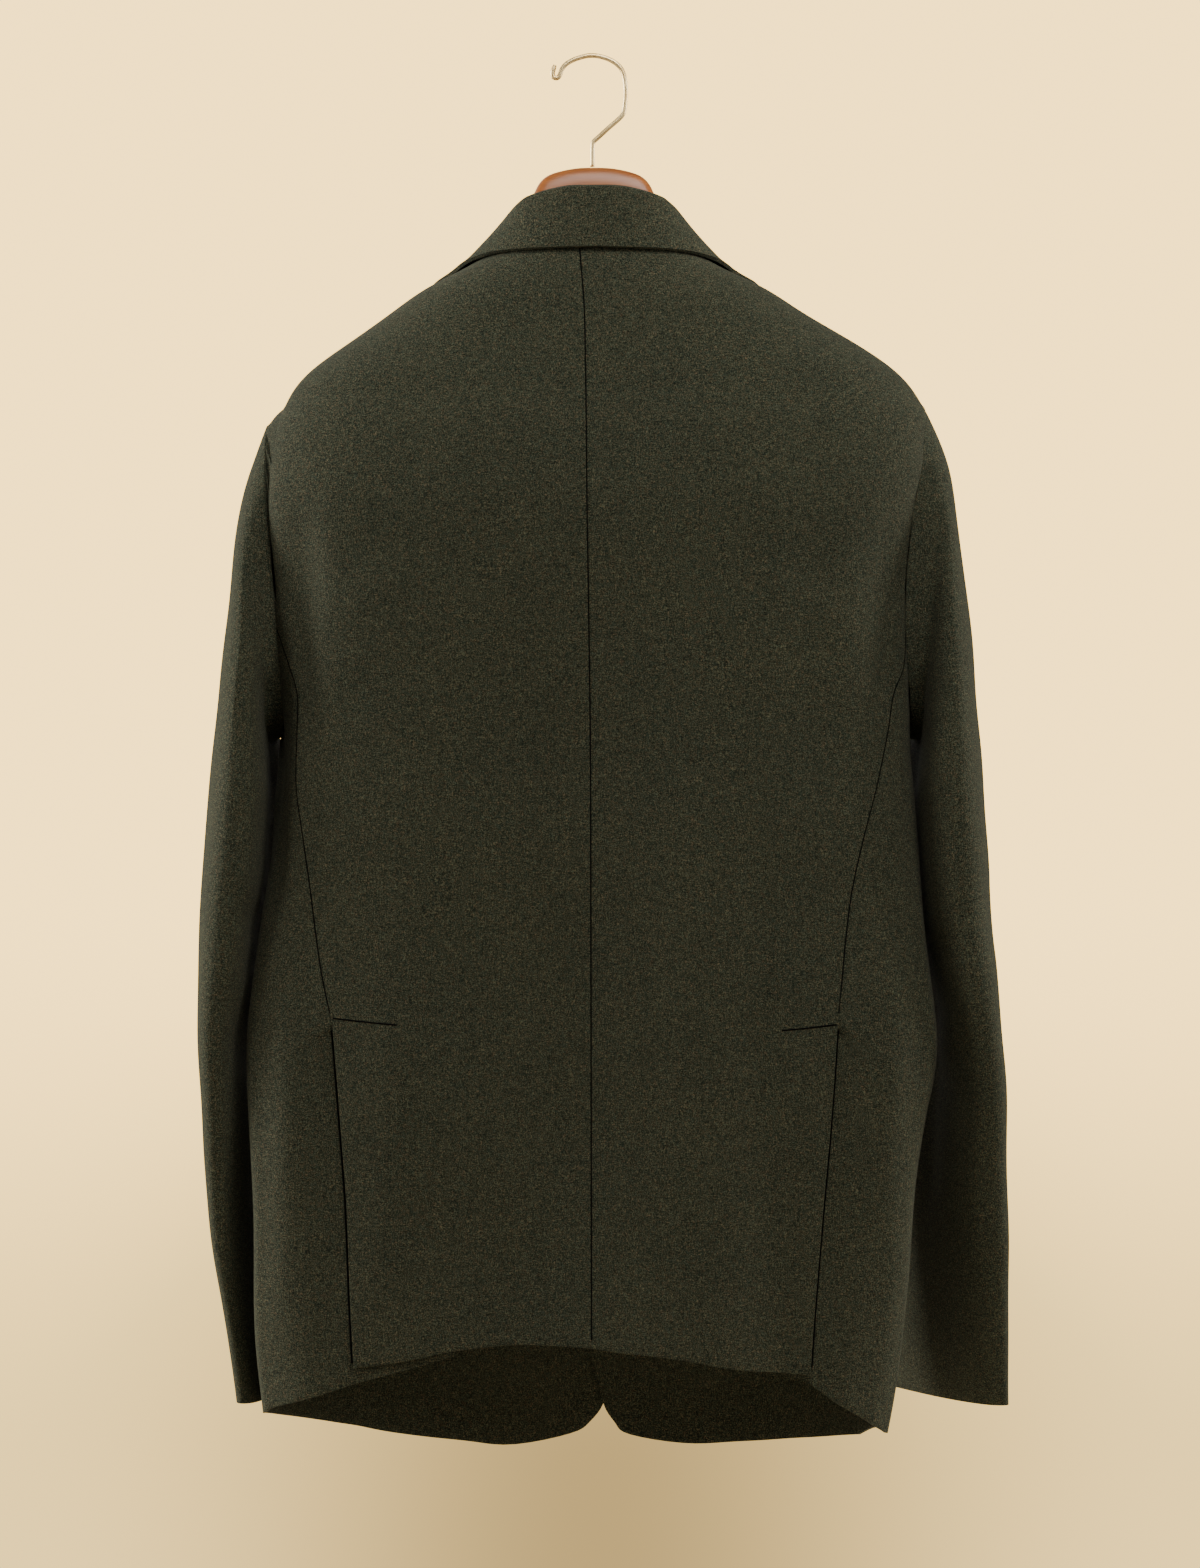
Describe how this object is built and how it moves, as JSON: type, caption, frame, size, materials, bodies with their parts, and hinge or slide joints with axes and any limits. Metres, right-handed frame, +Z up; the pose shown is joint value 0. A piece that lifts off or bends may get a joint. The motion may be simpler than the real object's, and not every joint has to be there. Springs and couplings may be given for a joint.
{
  "type": "single-breasted jacket on a wooden hanger",
  "caption": "Single-breasted tailored jacket with notch lapels, set-in sleeves and side vents, hanging on a contoured wooden hanger with a wire hook.",
  "frame": {"origin": "underside of the hook's arch, where the hook rests on a rail", "axes": "+Z up, the jacket's front faces -Y, the wearer's left is +X"},
  "size_m": [0.5394, 0.23, 0.9384],
  "materials": {
    "cloth": "mottled olive wool flannel, matt",
    "buttons": "dark horn look, softly polished",
    "wood": "clear satin varnish",
    "brass": "polished wire"
  },
  "bodies": {
    "root": {"back_left": "cloth", "back_right": "cloth", "side_left": "cloth", "side_right": "cloth", "front_left": "cloth", "front_right": "cloth", "collar": "cloth", "sleeve_left_top": "cloth", "sleeve_left_under": "cloth", "sleeve_right_top": "cloth", "sleeve_right_under": "cloth", "button_upper": "buttons", "button_lower": "buttons", "hanger": "wood", "hook": "brass"}
  },
  "joints": []
}
